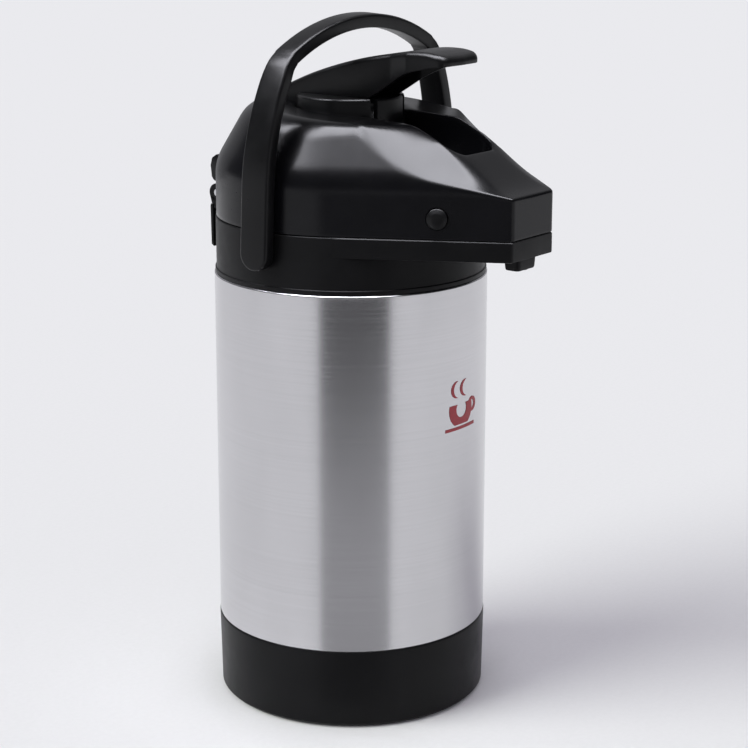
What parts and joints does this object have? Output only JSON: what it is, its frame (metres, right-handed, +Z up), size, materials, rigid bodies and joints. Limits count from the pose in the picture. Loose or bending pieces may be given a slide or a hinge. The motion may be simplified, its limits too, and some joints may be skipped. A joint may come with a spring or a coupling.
{
  "type": "thermal coffee airpot",
  "caption": "Insulated steel coffee dispenser with black plastic base, collar and lid, a pump lever, pouring beak, release buttons and swinging carry handle.",
  "frame": {"origin": "on the body axis at the underside of the rubber foot ring, where the airpot stands", "axes": "+Z up along the body axis, -Y forward towards the pouring beak, +X to the right seen from behind looking forward"},
  "size_m": [0.1776, 0.2183, 0.4052],
  "materials": {
    "black_matte": "fine matte moulded surface",
    "black_gloss": "satin gloss moulding",
    "black_lever": "satin moulded surface",
    "dark_inner": "plain moulded surface",
    "steel_brushed": "fine brushing round the body",
    "steel_plain": "plain drawn steel",
    "screw_steel": "zinc plated",
    "foot_rubber": "matte rubber",
    "seal_rubber": "matte silicone",
    "emblem_ink": "printed ink"
  },
  "bodies": {
    "body": {"foot_ring": "foot_rubber", "base_cup": "black_matte", "base_screws": "screw_steel", "flask_cradle": "dark_inner", "flask_cushion": "seal_rubber", "outer_shell": "steel_brushed", "flask_outer": "steel_plain", "flask_inner": "steel_plain", "neck_seal": "seal_rubber", "mouth_plug": "dark_inner", "dip_tube": "steel_plain", "collar": "black_matte", "spout_pipe": "steel_plain", "nozzle": "black_matte", "hinge_bracket": "black_matte", "bracket_screws": "screw_steel", "hinge_pin": "steel_plain", "emblem": "emblem_ink"},
    "handle_pivots": {"pivot_pin_left": "steel_plain", "pivot_pin_right": "steel_plain"},
    "handle": {"handle": "black_lever"},
    "lid": {"lid_cover": "black_gloss", "lid_base": "dark_inner", "lid_screws": "screw_steel", "lid_gasket": "seal_rubber", "air_valve": "seal_rubber", "latch_spring": "screw_steel", "lever_pin": "steel_plain", "bellows": "seal_rubber", "return_spring": "screw_steel"},
    "plunger": {"plunger": "black_lever"},
    "lever": {"lever": "black_lever", "link_pin": "steel_plain"},
    "left_button": {"button_left": "black_lever", "latch_left": "dark_inner"},
    "right_button": {"button_right": "black_lever", "latch_right": "dark_inner"}
  },
  "joints": [
    {"name": "lid_open", "type": "hinge", "parent": "body", "child": "lid", "pos_m": [0, 0.086, 0.295], "axis": [1, 0, 0], "range_deg": [-58, 0]},
    {"name": "lever_press", "type": "hinge", "parent": "lid", "child": "lever", "pos_m": [0, 0.045, 0.3505], "axis": [1, 0, 0], "range_deg": [0, 14], "stiffness_Nm_per_rad": 1.6, "springref_deg": -17.19},
    {"name": "plunger_slide", "type": "slide", "parent": "lid", "child": "plunger", "axis": [0, 0, -1], "range_m": [0, 0.0115], "deforming": ["bellows", "return_spring"]},
    {"name": "handle_follow", "type": "hinge", "parent": "body", "child": "handle_pivots", "pos_m": [0, 0, 0.278], "axis": [-1, 0, 0], "range_deg": [0, 124]},
    {"name": "handle_swing", "type": "hinge", "parent": "handle_pivots", "child": "handle", "pos_m": [0, 0, 0.278], "axis": [-1, 0, 0], "range_deg": [-8, 129]},
    {"name": "left_release", "type": "slide", "parent": "lid", "child": "left_button", "axis": [0.8746, 0.4848, 0], "range_m": [0, 0.003], "stiffness_N_per_m": 600},
    {"name": "right_release", "type": "slide", "parent": "lid", "child": "right_button", "axis": [-0.8746, 0.4848, 0], "range_m": [0, 0.003], "stiffness_N_per_m": 600}
  ],
  "couplings": [
    {"joint": "plunger_slide", "follows": "lever_press", "m_per_rad": 0.0445},
    {"joint": "handle_follow", "follows": "lid_open", "ratio": -2.1}
  ]
}
